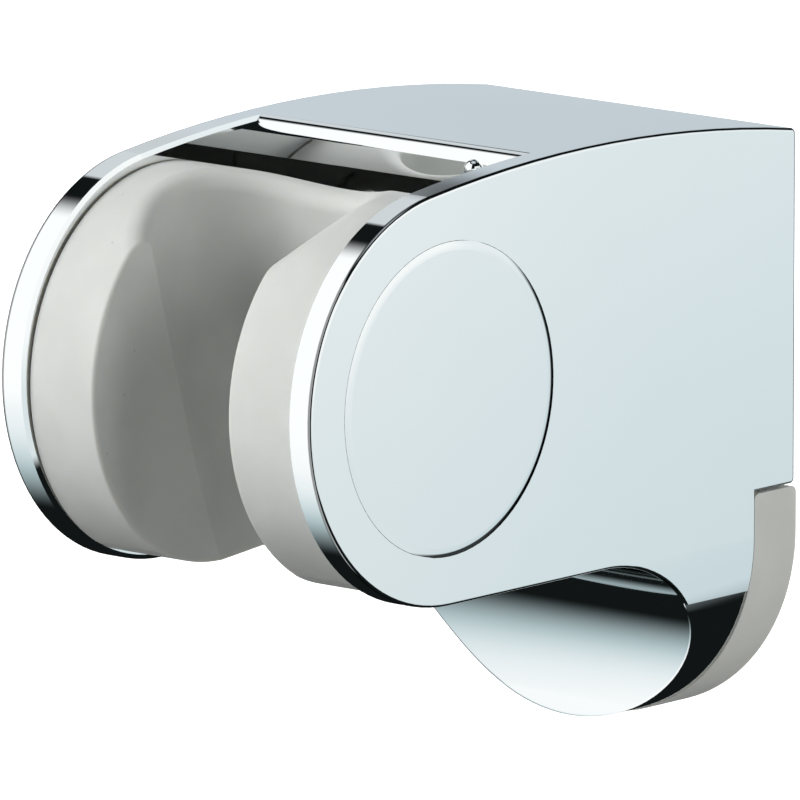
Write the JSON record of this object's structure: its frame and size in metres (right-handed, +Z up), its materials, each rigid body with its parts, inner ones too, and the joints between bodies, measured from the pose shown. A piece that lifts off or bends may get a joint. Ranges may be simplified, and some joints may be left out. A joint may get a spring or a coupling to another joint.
{
  "type": "hand shower holder",
  "caption": "Wall-mounted hand shower holder: a chrome-plated housing slides over a wall plate and carries a tilting grey cradle with a tapered, open-fronted socket for the handle.",
  "frame": {"origin": "on the wall face, midway between the two screw holes of the wall plate", "axes": "+Z up the wall, +Y into the wall, so the holder stands out along -Y; +X to the right when facing the wall"},
  "size_m": [0.0502, 0.091, 0.078],
  "materials": {
    "chrome_plating": "bright chrome plating on plastic",
    "cap_plating": "bright chrome plating on plastic",
    "cradle_grey": "semi-gloss light grey moulded plastic",
    "plate_grey": "satin warm grey moulded plastic",
    "friction_rubber": "matt black rubber",
    "brass": "turned brass",
    "zinc_steel": "zinc-plated steel"
  },
  "bodies": {
    "wall_body": {"housing": "chrome_plating", "wall_plate": "plate_grey", "right_cap": "cap_plating", "left_cap": "cap_plating"},
    "cradle_body": {"cradle": "cradle_grey", "right_friction_disc": "friction_rubber", "right_insert": "brass", "right_washer": "zinc_steel", "right_spring_washer": "zinc_steel", "right_screw": "zinc_steel", "left_friction_disc": "friction_rubber", "left_insert": "brass", "left_washer": "zinc_steel", "left_spring_washer": "zinc_steel", "left_screw": "zinc_steel"}
  },
  "joints": [
    {"name": "cradle_tilt", "type": "hinge", "parent": "wall_body", "child": "cradle_body", "pos_m": [0, -0.0656, 0.00785], "axis": [1, 0, 0], "range_deg": [-25, 35]}
  ]
}
